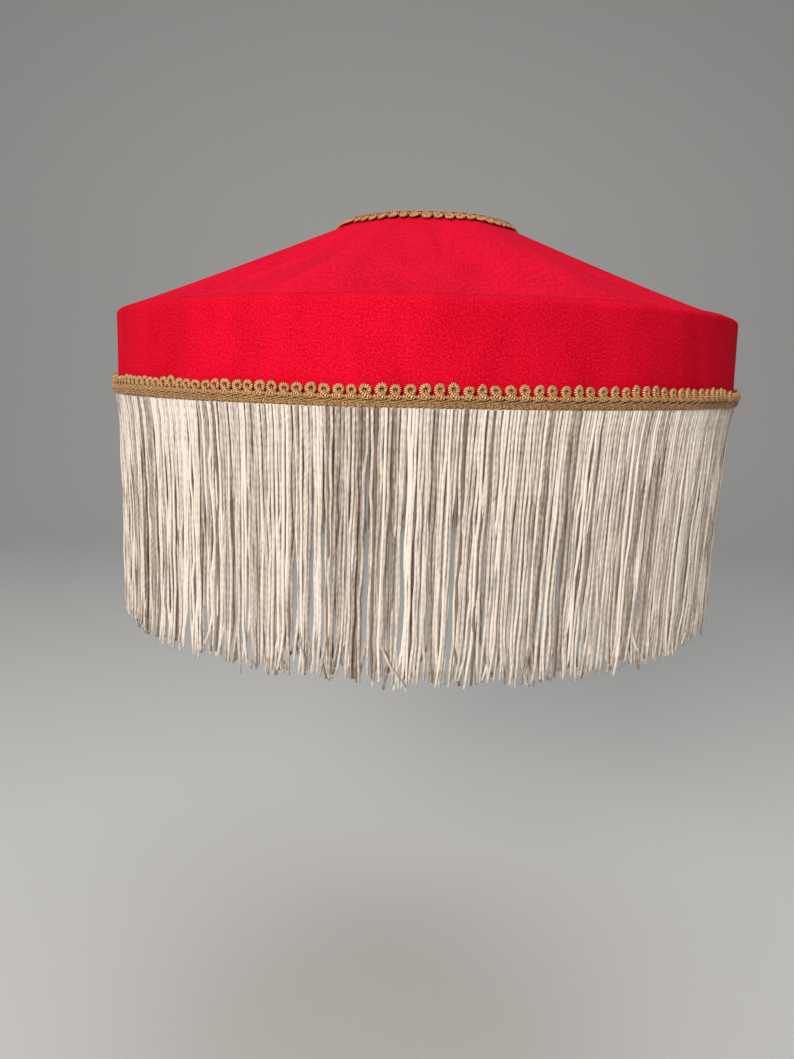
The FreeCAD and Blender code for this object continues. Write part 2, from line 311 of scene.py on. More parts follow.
skirt_velvet = velvet_finish("cut_pile_velvet_skirt", "#D20020", "#E80429", "#F4405A",
                             streak_length=70 * MM, streak_width=24 * MM, tuft_length=1.0 * MM)
# The crown gets a copy of the skirt's velvet painted a little lighter and pinker: painted light on the upper
# slope.
crown_velvet = velvet_finish("cut_pile_velvet_crown_painted_lighter", "#DC002B", "#EE0430", "#F44564",
                             streak_length=60 * MM, streak_width=30 * MM, tuft_length=4.0 * MM)

# %% [markdown]
# ## Cloth on the frame
# Each cover is a surface of revolution before the cloth gives, so it is drawn as a line
# from one vertex, extruded point by point, and spun round the axis. Round a wire the line
# follows an arc. The cloth then gets its give, and Solidify turns it into real thickness.
# UVs are laid in metres while the surface is still plain, so patterns have a true scale.


# %% Lines round the wires
def at(wire, offset, angle):
    """The (radius, height) point at an angle round a wire."""
    return wire[0] + offset * cos(angle), wire[1] + offset * sin(angle)


def arc(wire, offset, start, end, parts):
    """Points round a wire, from one angle to another."""
    return [at(wire, offset, start + (end - start) * n / parts) for n in range(parts + 1)]


def run(start, end, parts):
    """Points from start to end, without start."""
    return [tuple(a + (b - a) * n / parts for a, b in zip(start, end)) for n in range(1, parts + 1)]


# %% A line spun into a shell
def spun(name, line, steps, turn=2 * pi):
    """Draws a line of (radius, height) points and spins it round the axis."""
    deselect()
    bpy.ops.mesh.primitive_plane_add(size=MM, location=(line[0][0], 0, line[0][1]))
    piece = bpy.context.object
    piece.name = name
    bpy.ops.object.transform_apply(location=True, rotation=False, scale=False)
    bpy.ops.object.mode_set(mode="EDIT")
    bpy.ops.mesh.select_mode(type="VERT")
    bpy.ops.mesh.select_all(action="SELECT")
    bpy.ops.mesh.merge(type="CENTER")
    for (r0, z0), (r1, z1) in zip(line, line[1:]):
        bpy.ops.mesh.extrude_region_move(TRANSFORM_OT_translate={"value": (r1 - r0, 0, z1 - z0)})
    bpy.ops.mesh.select_all(action="SELECT")
    bpy.ops.mesh.spin(steps=steps, angle=turn, center=(0, 0, 0), axis=(0, 0, 1))
    bpy.ops.mesh.select_all(action="SELECT")
    bpy.ops.mesh.remove_doubles(threshold=0.001 * MM)
    bpy.ops.mesh.normals_make_consistent(inside=False)
    bpy.ops.object.mode_set(mode="OBJECT")
    bpy.ops.object.shade_smooth()
    lay_uv(piece, line)
    return piece


# %% UVs in metres
def points_of(piece):
    """The places of a piece's vertices."""
    return np.array([v.co for v in piece.data.vertices])


def move_points(piece, points):
    """Moves a piece's vertices to new places."""
    piece.data.vertices.foreach_set("co", points.ravel())
    piece.data.update()


def lay_uv(piece, line):
    """Gives a spun shell a UV map: metres round the widest edge, and metres along the line."""
    points, line = points_of(piece), np.array(line)
    along = np.append(0, np.cumsum(np.hypot(*np.diff(line, axis=0).T)))
    radius = np.hypot(points[:, 0], points[:, 1])
    near = np.abs(radius[:, None] - line[:, 0]) + np.abs(points[:, 2, None] - line[:, 1])
    up = along[near.argmin(axis=1)]
    turn = np.arctan2(points[:, 1], points[:, 0])
    layer = piece.data.uv_layers.new(name="cloth")
    for face in piece.data.polygons:
        start = turn[face.vertices[0]]
        for corner, vertex in zip(face.loop_indices, face.vertices):
            step = (turn[vertex] - start + pi) % (2 * pi) - pi
            layer.data[corner].uv = ((start + step) * line[:, 0].max(), up[vertex])


# %% Thickness
def thicken(piece, thickness, material):
    """Gives a shell its thickness on its inner side, and its finish."""
    pick(piece)
    wall = piece.modifiers.new("wall", "SOLIDIFY")
    wall.thickness, wall.offset = thickness, -1.0
    bpy.ops.object.modifier_apply(modifier=wall.name)
    piece.data.materials.append(material)
    print(piece.name, len(piece.data.polygons), "faces")


# %% [markdown]
# ## The crown
# One circle of velvet with a hole is slit, seamed, and pulled tight from the top ring to
# the shoulder. Between two struts nothing holds it out, so it is drawn in towards the
# straight line from strut to strut: most in the lower middle of each panel, hardly at all
# on a strut, and not at all at the rings. The give is a formula, because on stretched cloth
# it is a smooth hollow.

# %% The crown cover
top_wire = (top_radius, top_height)
shoulder_wire = (shoulder_radius, shoulder_height)
bottom_wire = (bottom_radius, bottom_height)
seam_lap = 4.0 * MM
crown_hollow = 6.8 * MM
crown_ripple = 0.25 * MM
top_roll = radians(112)
STEPS = 256


def crown_point(offset, share):
    """A point on the crown's slope, a share of the way from the top wire to the shoulder."""
    r, z = at(top_wire, offset, crown_touch)
    return r + crown_length * share * cos(crown_run), z + crown_length * share * sin(crown_run)


def hollow(share, angle):
    """How far cloth is drawn in: 0 at the rings, and hardly at all on the struts."""
    between = 0.12 + 0.88 * (1 - np.cos(STRUTS * (angle - first_strut))) / 2
    uneven = 1 + 0.14 * np.cos(angle)
    return between * uneven * np.sin(pi * np.clip(1 - share, 0, 1) ** 0.72)


seam_share = 1 - seam_lap / crown_length
line = arc(top_wire, velvet_outer, top_roll, crown_touch, 8)
crown_start = line[-1][0]
line += run(line[-1], crown_point(velvet_outer, seam_share - soft_gap / crown_length), 40)


def sunk_in(p):
    """Draws points on the crown's slope in, as far as the cloth under them gives."""
    radius, angle = np.hypot(p[:, 0], p[:, 1]), np.arctan2(p[:, 1], p[:, 0])
    share = np.clip((radius - crown_start) / (crown_length * cos(crown_run)), 0, 1)
    give = crown_hollow * hollow(share, angle) * (share > 0)
    give += crown_ripple * np.sin(9 * angle + 2) * np.sin(5 * angle) * np.sin(pi * share)
    p[:, 0] += np.cos(angle) * give * sin(crown_run)
    p[:, 1] += np.sin(angle) * give * sin(crown_run)
    p[:, 2] -= give * cos(crown_run)
    return p


crown = spun("crown_velvet", line, STEPS)
move_points(crown, sunk_in(points_of(crown)))
thicken(crown, velvet, crown_velvet)

# %% [markdown]
# ## The skirt
# A straight strip of velvet runs round the skirt. Its top edge is folded over the shoulder
# ring and hides the end of the crown in a seam a few millimetres up the slope. It is drawn
# in between the struts too, but less than a millimetre, because the rings are so close. It
# ends behind the header of the fringe, so that no red shows below the braid.

# %% The skirt cover
header_low, header_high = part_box("fringe_header")
cover_bottom = max(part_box("skirt_cover")[0].z, header_low.z + 0.4 * MM)
skirt_hollow = 0.8 * MM
line = [at(shoulder_wire, velvet_outer, crown_touch)]
line.insert(0, (line[0][0] - seam_lap * cos(crown_run), line[0][1] - seam_lap * sin(crown_run)))
line = [line[0]] + run(line[0], line[1], 3)
line += arc(shoulder_wire, velvet_outer, crown_touch, skirt_touch, 10)[1:]
skirt_top = line[-1]
drop = (cover_bottom - skirt_top[1]) / sin(skirt_run)
line += run(skirt_top, (skirt_top[0] + drop * cos(skirt_run), cover_bottom), 16)
skirt_line = line
skirt = spun("skirt_velvet", line, STEPS)
p = points_of(skirt)
radius, angle = np.hypot(p[:, 0], p[:, 1]), np.arctan2(p[:, 1], p[:, 0])
down = np.clip((skirt_top[1] - p[:, 2]) / (skirt_top[1] - cover_bottom), 0, 1)
give = skirt_hollow * np.sin(pi * down) * (1 - np.cos(STRUTS * (angle - first_strut))) / 2
p[:, :2] *= (1 - give / radius)[:, None]
move_points(skirt, p)
thicken(skirt, velvet, skirt_velvet)

# %% [markdown]
# ## The lining
# Ivory satin is stretched inside from the top ring straight to the bottom ring and rolled
# over both wires. Satin is woven so that long threads float on its face: it gleams, and
# the gleam runs in fine lines. Where it is gathered on to the small top ring it pleats.

# %% Satin
satin_cloth, tree, out = new_material("woven_satin_lining")
cloth = add(tree, "ShaderNodeUVMap", uv_map="cloth").outputs["UV"]
threads = add(tree, "ShaderNodeMapping", {"Vector": cloth, "Scale": (1 / (0.8 * MM), 1 / (25 * MM), 1)})
floats = add(tree, "ShaderNodeTexNoise", {"Vector": threads.outputs[0], "Scale": 1.0, "Detail": 3.0})
fold_light_streaks = add(tree, "ShaderNodeMapping", {"Vector": cloth, "Scale": (1 / (9 * MM), 1 / (120 * MM), 1)})
drift = add(tree, "ShaderNodeTexNoise", {"Vector": fold_light_streaks.outputs[0], "Scale": 1.0, "Detail": 2.0})
# Streaks about 9 mm across and 120 mm long run down the lining in two ivory tones: painted light and shade of
# its folds.
tone = ramp(tree, drift.outputs["Fac"], (0.35, "#DDCCAE"), (0.65, "#EADCC2"))
bump = add(tree, "ShaderNodeBump", {"Height": floats.outputs["Fac"], "Strength": 0.5, "Distance": 0.08 * MM})
shader = add(tree, "ShaderNodeBsdfPrincipled", {
    "Base Color": tone, "Roughness": 0.36, "Normal": bump.outputs["Normal"],
    "Sheen Weight": 0.25, "Sheen Roughness": 0.3, "Specular IOR Level": 0.55})
tree.links.new(shader.outputs[0], out.inputs[0])

# %% The satin lining
lining_roll = radians(128)
lining_end = skirt_touch + 2 * pi - radians(70)
pleat_depth, fold_depth = 0.35, 0.5
line = arc(top_wire, satin_outer, lining_roll, lining_touch, 10)
lining_top, start = line[-1], at(bottom_wire, satin_outer, lining_touch)
line += run(lining_top, start, 36)
line += arc(bottom_wire, satin_outer, lining_touch, lining_end, 10)[1:]
lining = spun("satin_lining", line, STEPS)
p = points_of(lining)
radius, angle = np.hypot(p[:, 0], p[:, 1]), np.arctan2(p[:, 1], p[:, 0])
share = np.clip((radius - lining_top[0]) / (start[0] - lining_top[0]), 0, 1)
fold = pleat_depth * np.sin(64 * angle) * np.exp(-share * 9)
fold += fold_depth * np.sin(21 * angle + 3 * np.sin(4 * angle))
fold *= np.sin(pi * share) ** 0.5 * 0.7 * MM
p[:, :2] *= (1 - fold * abs(sin(lining_run)) / radius)[:, None]
p[:, 2] -= fold * cos(lining_run)
move_points(lining, p)
thicken(lining, satin, satin_cloth)

# %% [markdown]
# ## Gimp braid
# Gimp is made of cord that is itself a core wound with rayon thread. One thick cord runs
# in curls along the upper edge. A thin cord comes down out of each curl and sweeps along
# under the next, two shorter ones rise to meet it, and two fine cords curl along the lower
# edge. One repeat is modelled flat, an Array copies it, and the strip is then bent round the
# shade. The curls differ a little in height and spacing, as they do on braid that was
# stretched while it was glued.


# %% One cord
def cord(path, width, smooth=True, round_parts=1):
    """A round cord along (x, y, depth) points in mm, as a mesh. A smooth one is a NURBS."""
    curve = bpy.data.curves.new("cord", "CURVE")
    curve.dimensions, curve.bevel_depth, curve.bevel_resolution = "3D", width / 2, round_parts
    curve.use_fill_caps = smooth
    spline = curve.splines.new("NURBS" if smooth else "POLY")
    spline.points.add(len(path) - 1)
    for point, place in zip(spline.points, path):
        point.co = (*place, 1)
    if smooth:
        spline.order_u, spline.use_endpoint_u, spline.resolution_u = 3, True, 2
    piece = bpy.data.objects.new("cord", curve)
    bpy.context.collection.objects.link(piece)
    pick(piece)
    bpy.ops.object.convert(target="MESH")
    return piece


def curls(pitch, height, reach, rise, depth, lean, parts, loops=1):
    """A cord that loops back on itself at the top of every pitch, or below if rise is negative."""
    turns = [-pi + 2 * pi * n / parts for n in range(parts * loops + 1)]
    return [(pitch * t / (2 * pi) - reach * sin(t), height + rise * cos(t), depth + lean * sin(t))
            for t in turns]


def joined(pieces, name):
    """Several pieces as one object."""
    pick(*pieces)
    if len(pieces) > 1:
        bpy.ops.object.join()
    bpy.context.object.name = name
    return bpy.context.object


# %% One repeat, in mm: x along the braid, y up to the curls, z out of the cloth
PITCH = 6.68


def gimp_repeat():
    """The cords between one curl and the next."""
    sweep = [(-0.2, 8.0, 0.8), (0.3, 7.1, 2.6), (1.7, 5.5, 3.3),
             (4.2, 4.5, 3.0), (6.9, 4.0, 2.4), (8.6, 3.6, 1.2)]
    rise = [(-2.8, 1.9, 1.2), (0.2, 2.5, 2.2), (3.2, 3.3, 2.7), (6.4, 4.1, 1.8)]
    pieces = [
        cord(curls(PITCH, 7.25, 3.35, 2.6, 1.2, 0.45, 14), 2.15, smooth=False),
        cord(curls(PITCH / 2, 1.95, 1.85, 0.95, 1.1, 0.45, 9, 2), 0.95, smooth=False, round_parts=0),
        cord(curls(PITCH / 2, 1.15, 1.65, -0.75, 0.9, -0.5, 9, 2), 0.90, smooth=False, round_parts=0),
    ]
    for path, width, shifts in ((sweep, 0.95, (0.0,)), (rise, 0.85, (0.0, 1.1))):
        for shift in shifts:
            line = [(x - 0.4 * shift, y - shift, z - 0.4 * shift) for x, y, z in path]
            pieces.append(cord(line, width, round_parts=0))
    return joined(pieces, "gimp_repeat")


# %% A strip of repeats
curl_foot = 4.5
dark_edge = 2.6
pressed = 0.80
taller_by, slid_by, leant_by, darker_by, jitter = 0.08, 0.38, 0.09, 0.12, 0.06


def gimp_strip(name, repeats, seed):
    """A flat strip of braid, with small differences that run smoothly from curl to curl."""
    strip = gimp_repeat()
    strip.name = name
    copies = strip.modifiers.new("copies", "ARRAY")
    copies.count, copies.use_relative_offset, copies.use_constant_offset = repeats, False, True
    copies.constant_offset_displace = (PITCH, 0, 0)
    copies.use_merge_vertices, copies.merge_threshold = True, 0.01
    bpy.ops.object.modifier_apply(modifier=copies.name)
    bpy.ops.object.mode_set(mode="EDIT")
    bpy.ops.mesh.select_all(action="SELECT")
    bpy.ops.mesh.fill_holes(sides=8)
    bpy.ops.object.mode_set(mode="OBJECT")
    chance = np.random.default_rng(seed)
    p = points_of(strip)
    knots = np.arange(-2, repeats + 3) * PITCH

    def drifting(spread):
        """A random value that changes smoothly from repeat to repeat."""
        return np.interp(p[:, 0], knots, chance.normal(0, spread, len(knots)))

    taller, slid, leant = drifting(taller_by), drifting(slid_by), drifting(leant_by)
    # Towards the braid's straight edge, and by a random amount from curl to curl, the thread's colour is
    # later drawn towards a plain brown.
    tone = 0.6 * np.clip(1 - p[:, 1] / dark_edge, 0, 1) + drifting(darker_by)
    upper = np.clip((p[:, 1] - curl_foot) / 3, 0, 1)
    p[:, 0] += slid * upper + leant * (p[:, 1] - 5)
    p[:, 1] += taller * upper * (p[:, 1] - curl_foot)
    p += chance.normal(0, jitter, p.shape)
    p[:, 2] *= pressed
    move_points(strip, p)
    strip.data.attributes.new("edge_and_curl_tone", "FLOAT", "POINT").data.foreach_set("value", tone)
    return strip


# %% Rayon thread for the braid
gimp_thread, tree, out = new_material("wound_rayon_thread")
along = add(tree, "ShaderNodeUVMap", uv_map="UVMap").outputs["UV"]
# The thread is wound at 0.3 mm; it is drawn about twenty turns to a cord, so that they show.
turns = add(tree, "ShaderNodeMapping", {"Vector": along, "Scale": (20.0, 1.0, 1.0)})
wound = add(tree, "ShaderNodeTexWave", {"Vector": turns.outputs[0], "Scale": 0.32, "Distortion": 1.2,
                                        "Detail": 2.0, "Detail Scale": 1.5})
place = add(tree, "ShaderNodeTexCoord").outputs["Object"]
fuzz = add(tree, "ShaderNodeTexNoise", {"Vector": place, "Scale": 900.0, "Detail": 4.0, "Roughness": 0.7})
batch = add(tree, "ShaderNodeTexNoise", {"Vector": place, "Scale": 45.0, "Detail": 2.0})
dark = add(tree, "ShaderNodeAttribute", attribute_name="edge_and_curl_tone")
mixed = add(tree, "ShaderNodeMath", {0: wound.outputs["Fac"], 1: fuzz.outputs["Fac"]}, operation="MULTIPLY")
# The turns are coloured dark brown in their grooves and pale yellow on their crests: painted shade and
# painted highlights on the wound thread.
turns_lit_and_shaded = ramp(tree, mixed.outputs[0], (0.10, "#6C2A0E"), (0.48, "#FFE09E"), (0.26, "#EFA050"))
# Where that tone is high, the wound colours give way to a plain brown.
toned_to_edge = add(tree, "ShaderNodeMix", {0: dark.outputs["Fac"], 6: turns_lit_and_shaded, 7: colour("#B8702F")}, data_type="RGBA")
faded = add(tree, "ShaderNodeMapRange", {"Value": batch.outputs["Fac"], "To Min": 0.90, "To Max": 1.20})
tinted = add(tree, "ShaderNodeHueSaturation", {"Color": toned_to_edge.outputs[2], "Value": faded.outputs["Result"]})
bump = add(tree, "ShaderNodeBump", {"Height": mixed.outputs[0], "Strength": 1.0, "Distance": 0.45 * MM})
shader = add(tree, "ShaderNodeBsdfPrincipled", {
    "Base Color": tinted.outputs["Color"], "Roughness": 0.32, "Normal": bump.outputs["Normal"],
    "Specular IOR Level": 0.8, "Sheen Weight": 0.15, "Sheen Roughness": 0.4, "Sheen Tint": colour("#FFE2B8")})
tree.links.new(shader.outputs[0], out.inputs[0])

# %% [markdown]
# ## Gimp on the hem
# The braid is glued over the header of the fringe. It starts and ends on the right, where
# the last curl laps over the first. It starts a little low and narrow there and evens out.

# %% The hem gimp
hem_low, hem_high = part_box("bottom_gimp")
hem_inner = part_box("fringe_header")[1].x + soft_gap
gimp_thickness = hem_high.x - hem_inner
hem_middle = hem_inner + gimp_thickness / 2
hem_join = radians(-33.0)
lap = 1
gimp_width = 11 * MM
start_squash, squash_length = 0.20, 110 * MM
start_drop, drop_length = 0.9 * MM, 60 * MM
lap_lift, lap_drop = 1.1 * MM, 0.6 * MM
hem_wander = 0.22 * MM


def bent_round_hem(strip, repeats):
    """Bends the flat strip round the hem, and lays its end over its start."""
    p = points_of(strip) * MM
    squashed = start_squash * np.clip(1 - p[:, 0] / squash_length, 0, 1)
    p[:, 1] *= 1 - squashed * np.clip(p[:, 1] / gimp_width, 0, 1)
    pitch = 2 * pi * hem_middle / repeats
    x = p[:, 0] * pitch / (PITCH * MM)
    angle = hem_join + x / hem_middle
    over = np.clip((x - 2 * pi * hem_middle + pitch) / pitch, 0, 1)
    out = hem_inner + p[:, 2] + lap_lift * over
    low = start_drop * np.clip(1 - x / drop_length, 0, 1) + lap_drop * over
    wave = hem_wander * (np.sin(5 * angle + 1) + np.sin(13 * angle + 2) * 0.6)
    up = hem_low.z + p[:, 1] - low + wave
    move_points(strip, np.stack([out * np.cos(angle), out * np.sin(angle), up], axis=1))


hem_repeats = round(2 * pi * hem_middle / (PITCH * MM))
hem_gimp = gimp_strip("hem_gimp_cords", hem_repeats + lap, seed=3)
bent_round_hem(hem_gimp, hem_repeats)
bpy.ops.object.shade_smooth()
hem_gimp.data.materials.append(gimp_thread)
print("hem gimp:", hem_repeats, "curls,", len(hem_gimp.data.polygons), "faces")

# %% Its woven backing
shaded_backing, tree, out = new_material("braid_backing_painted_shade")
place = add(tree, "ShaderNodeUVMap", uv_map="cloth").outputs["UV"]
grid = add(tree, "ShaderNodeMapping", {"Vector": place, "Scale": (1 / (1.2 * MM), 1 / (1.0 * MM), 1)})
weave = add(tree, "ShaderNodeTexNoise", {"Vector": grid.outputs[0], "Scale": 1.0, "Detail": 3.0})
# The band behind the cords stands for the braid's base, but is coloured dark brown, darker than the thread:
# painted shade in the gaps and in the holes of the curls.
tone = ramp(tree, weave.outputs["Fac"], (0.35, "#4A1E10"), (0.70, "#7E4A26"))
bump = add(tree, "ShaderNodeBump", {"Height": weave.outputs["Fac"], "Strength": 0.9, "Distance": 0.3 * MM})
shader = add(tree, "ShaderNodeBsdfPrincipled", {
    "Base Color": tone, "Roughness": 0.8, "Normal": bump.outputs["Normal"], "Sheen Weight": 0.2})
tree.links.new(shader.outputs[0], out.inputs[0])
backing_lift, backing_thickness = 0.7 * MM, 0.6 * MM
backing_high, backing_low = 4.4 * MM, 0.5 * MM
line = [(hem_inner + backing_lift, hem_low.z + backing_high)]
line += run(line[0], (line[0][0], hem_low.z + backing_low), 6)
hem_backing = spun("hem_gimp_backing", line, STEPS)
p = points_of(hem_backing)
angle = np.arctan2(p[:, 1], p[:, 0])
p[:, 2] += 0.25 * MM * np.sin(97 * angle) * (p[:, 2] < hem_low.z + 1.5 * MM)
move_points(hem_backing, p)
thicken(hem_backing, backing_thickness, shaded_backing)

# %% [markdown]
# ## Gimp on the top ring
# The same braid lies the other way up here: its straight edge is rolled over the top wire
# and the curls point down the crown. Bent so tightly, the straight edge is pushed together
# and the curls stand a little apart, which the bend gives by itself.

# %% The top gimp
gimp_wrap = radians(103.0)
trim_offset = velvet_outer + soft_gap
over_wire = (gimp_wrap - crown_touch) * (trim_offset + gimp_thickness / 2)


def over_top(along, out):
    """Radius and height of points some way along the braid's width and out of the cloth."""
    angle = gimp_wrap - np.clip(along, 0, over_wire) / over_wire * (gimp_wrap - crown_touch)
    past = np.clip(along - over_wire, 0, None)
    r = top_radius + (trim_offset + out) * np.cos(angle) + past * cos(crown_run)
    z = top_height + (trim_offset + out) * np.sin(angle) + past * sin(crown_run)
    return r, z


top_middle = over_top(np.array(5.5 * MM), 0.0)[0]
top_lift = 0.5 * MM
top_repeats = round(2 * pi * float(top_middle) / (PITCH * MM))
top_gimp = gimp_strip("top_gimp_cords", top_repeats, seed=8)
p = points_of(top_gimp) * MM
angle = -p[:, 0] / (PITCH * MM) * 2 * pi / top_repeats
r, z = over_top(p[:, 1], p[:, 2] + top_lift)
move_points(top_gimp, sunk_in(np.stack([r * np.cos(angle), r * np.sin(angle), z], axis=1)))
bpy.ops.object.shade_smooth()
top_gimp.data.materials.append(gimp_thread)
line = [tuple(float(v) for v in over_top(np.array(along * MM), backing_lift + top_lift))
        for along in np.linspace(0.4, 6.6, 9)]
top_backing = spun("top_gimp_backing", line, STEPS)
move_points(top_backing, sunk_in(points_of(top_backing)))
thicken(top_backing, backing_thickness, shaded_backing)
print("top gimp:", top_repeats, "curls,", len(top_gimp.data.polygons), "faces")

# %% [markdown]
# ## The cut fringe
# Some 1200 rayon strands hang from a woven header, in two layers. A strand is soft and a
# little crimped, so it never hangs quite straight. Neighbours cling together, mostly in
# twos to fours, and part again near the cut ends, which splay and differ in length. A few
# strands are modelled, and every strand of the fringe is a copy of one of them, bent its
# own way.

# %% Sizes of the fringe
fringe_low, fringe_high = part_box("fringe")
fringe_length = fringe_high.z - fringe_low.z
header_out = header_high.x
STRAND = 1.65 * MM
STRAND_PITCH = 1.75 * MM
LINKS = 13
SIDES = 5
waist, flare = 3.3 * MM, 3.0 * MM
BACK_STRANDS, BACK_LAYER = 460, 1.6 * MM
TUCK = 0.5 * MM
# The strands hang 1.14 degrees off the model's upright, as the lamp's shade is out of true.
PLUMB = sin(radians(1.14))


# %% A strand, by extruding a small ring of vertices
def strand_model(name, chance):
    """A strand 1 long and 1 wide, from z 0 down to -1, a little uneven in width."""
    deselect()
    bpy.ops.mesh.primitive_circle_add(vertices=SIDES, radius=0.5, location=(0, 0, 0), fill_type="NOTHING")
    piece = bpy.context.object
    piece.name = name
    bpy.ops.object.mode_set(mode="EDIT")
    bpy.ops.mesh.select_mode(type="VERT")
    bpy.ops.mesh.select_all(action="SELECT")
    width = 1.0
    for link in range(LINKS):
        bpy.ops.mesh.extrude_region_move(TRANSFORM_OT_translate={"value": (0, 0, -1 / LINKS)})
        wanted = 0.85 if link == LINKS - 1 else chance.uniform(0.88, 1.14)
        bpy.ops.transform.resize(value=(wanted / width, wanted / width, 1))
        width = wanted
    bpy.ops.mesh.edge_face_add()
    bpy.ops.object.mode_set(mode="OBJECT")
    return piece


chance = np.random.default_rng(21)
models = [strand_model(f"strand_{n}", chance) for n in range(6)]
shapes = np.array([points_of(model) for model in models])
faces = [list(face.vertices) for face in models[0].data.polygons]
print("strand model:", len(faces), "faces")


# %% How the strands hang
place_spread = 0.14
bunch_drift, strand_drift = 1.2 * MM, 0.5 * MM
splay_size = 1.5 * MM
splay_start = 0.84
length_spread, bunch_length = 0.010, 1.7 * MM
strand_depth = 0.85
waviness = ((2.2, 0.34 * MM), (4.6, 0.20 * MM))
in_and_out = 0.7 * MM
top_ease = 0.8 * MM


def smooth_step(low, high, value):
    """0 below low, 1 above high, and an S-shaped rise between them."""
    t = np.clip((value - low) / (high - low), 0, 1)
    return t * t * (3 - 2 * t)


def bunches(count, chance):
    """Numbers the strands by the bunch that each clings to."""
    number, sizes = 0, []
    while sum(sizes) < count:
        sizes.append(chance.choice([1, 2, 3, 4, 5], p=[0.12, 0.28, 0.30, 0.20, 0.10]))
    return np.repeat(np.arange(len(sizes)), sizes)[:count]


def hanging(count, layer, chance):
    """Points of all strands of one layer, as (strand, vertex, xyz), and each strand's place."""
    place = (np.arange(count) + chance.normal(0, place_spread, count)) * 2 * pi / count
    bunch = bunches(count, chance)
    middle = np.bincount(bunch, place) / np.bincount(bunch)
    drift = chance.normal(0, bunch_drift, len(middle))[bunch] + chance.normal(0, strand_drift, count)
    cling = chance.uniform(0.10, 0.48, count) * (middle[bunch] - place) * header_out
    splay = chance.standard_t(3, count) * splay_size
    length = fringe_length * (1 + chance.normal(0, length_spread, count))
    length += chance.normal(0, bunch_length, len(middle))[bunch]
    model = shapes[chance.integers(0, len(shapes), count)]
    down = -model[:, :, 2]
    twist = chance.uniform(0, 2 * pi, count)[:, None] + chance.uniform(3, 7, count)[:, None] * down
    wide = STRAND * chance.uniform(0.86, 1.12, count)[:, None]
    across = (model[:, :, 0] * np.cos(twist) - model[:, :, 1] * np.sin(twist)) * wide
    away = (model[:, :, 0] * np.sin(twist) + model[:, :, 1] * np.cos(twist)) * wide * strand_depth
    for waves, size in waviness:
        for side in (across, away):
            swing = chance.normal(0, size, count)[:, None] * smooth_step(0, 0.25, down)
            side += swing * np.sin(2 * pi * waves * (down + chance.uniform(0, 1, count)[:, None]))
    clung = smooth_step(0.02, 0.45, down) * (1 - 0.55 * smooth_step(0.80, 1.0, down))
    across += cling[:, None] * clung + drift[:, None] * down ** 1.5
    across += splay[:, None] * np.clip((down - splay_start) / (1 - splay_start), 0, 1) ** 1.4
    away += chance.normal(0, in_and_out, count)[:, None] * smooth_step(0, 0.5, down)
    lean = (4 * waist - flare) * down - (4 * waist - 2 * flare) * down ** 2
    ease = top_ease * (1 - smooth_step(0, 0.06, down))
    radius = header_out - STRAND / 2 + ease - layer - lean + away
    angle = place[:, None] + across / radius
    points = np.stack([radius * np.cos(angle) - PLUMB * down * length[:, None],
                       radius * np.sin(angle), fringe_high.z + TUCK - down * length[:, None]], axis=2)
    return points, place


# %% The strands, joined in sectors
SECTORS = 8
front, front_place = hanging(round(2 * pi * header_out / STRAND_PITCH), 0.0, chance)
back, back_place = hanging(BACK_STRANDS, BACK_LAYER, chance)
strands = np.concatenate([front, back])
places = np.concatenate([front_place, back_place])
# Each strand gets a random tone, and the back layer is painted 0.20 darker: painted shade behind the front
# strands.
tones_and_back_shade = chance.normal(0.26, 0.20, len(strands)) - 0.20 * (np.arange(len(strands)) >= len(front))
corners = np.array([[(v % SIDES) / SIDES, -shapes[0][v][2]] for face in faces for v in face])


def sector_of_strands(name, chosen, material):
    """Joins strands into one mesh with a UV map, around and along, and a tone for each."""
    size = shapes.shape[1]
    mesh = bpy.data.meshes.new(name)
    linked = [[v + n * size for v in face] for n in range(len(chosen)) for face in faces]
    mesh.from_pydata(strands[chosen].reshape(-1, 3), [], linked)
    mesh.uv_layers.new(name="strand").data.foreach_set("uv", np.tile(corners, (len(chosen), 1)).ravel())
    tone = np.repeat(tones_and_back_shade[chosen], size)
    mesh.attributes.new("tone", "FLOAT", "POINT").data.foreach_set("value", tone)
    mesh.materials.append(material)
    piece = bpy.data.objects.new(name, mesh)
    bpy.context.collection.objects.link(piece)
    pick(piece)
    bpy.ops.object.shade_smooth()
    return piece


# %% Rayon strands
strand_thread, tree, out = new_material("cut_rayon_strand")
strand_map = add(tree, "ShaderNodeUVMap", uv_map="strand").outputs["UV"]
tone = add(tree, "ShaderNodeAttribute", attribute_name="tone")
place = add(tree, "ShaderNodeTexCoord").outputs["Object"]
# Filaments are far under 0.1 mm; they are drawn as streaks 0.5 mm wide and 14 mm long.
streaks = add(tree, "ShaderNodeMapping", {
    "Vector": place, "Scale": (1 / (0.5 * MM), 1 / (0.5 * MM), 1 / (14 * MM))})
filament = add(tree, "ShaderNodeTexNoise", {"Vector": streaks.outputs[0], "Scale": 1.0, "Detail": 3.0})
ply = add(tree, "ShaderNodeMapping", {"Vector": strand_map, "Scale": (1.0, 40.0, 1.0)})
plies = add(tree, "ShaderNodeTexWave", {"Vector": ply.outputs[0], "Scale": 0.5, "Distortion": 0.6,
                                        "Detail": 1.0}, bands_direction="DIAGONAL")
streaked = add(tree, "ShaderNodeMath", {0: tone.outputs["Fac"], 1: filament.outputs["Fac"]}, operation="ADD")
level = add(tree, "ShaderNodeMath", {0: plies.outputs["Fac"], 1: 0.07, 2: streaked.outputs[0]},
            operation="MULTIPLY_ADD")
shades = ramp(tree, level.outputs[0], (0.36, "#86705F"), (0.96, "#FCF0E3"))
relief = add(tree, "ShaderNodeMath", {0: plies.outputs["Fac"], 1: filament.outputs["Fac"]}, operation="ADD")
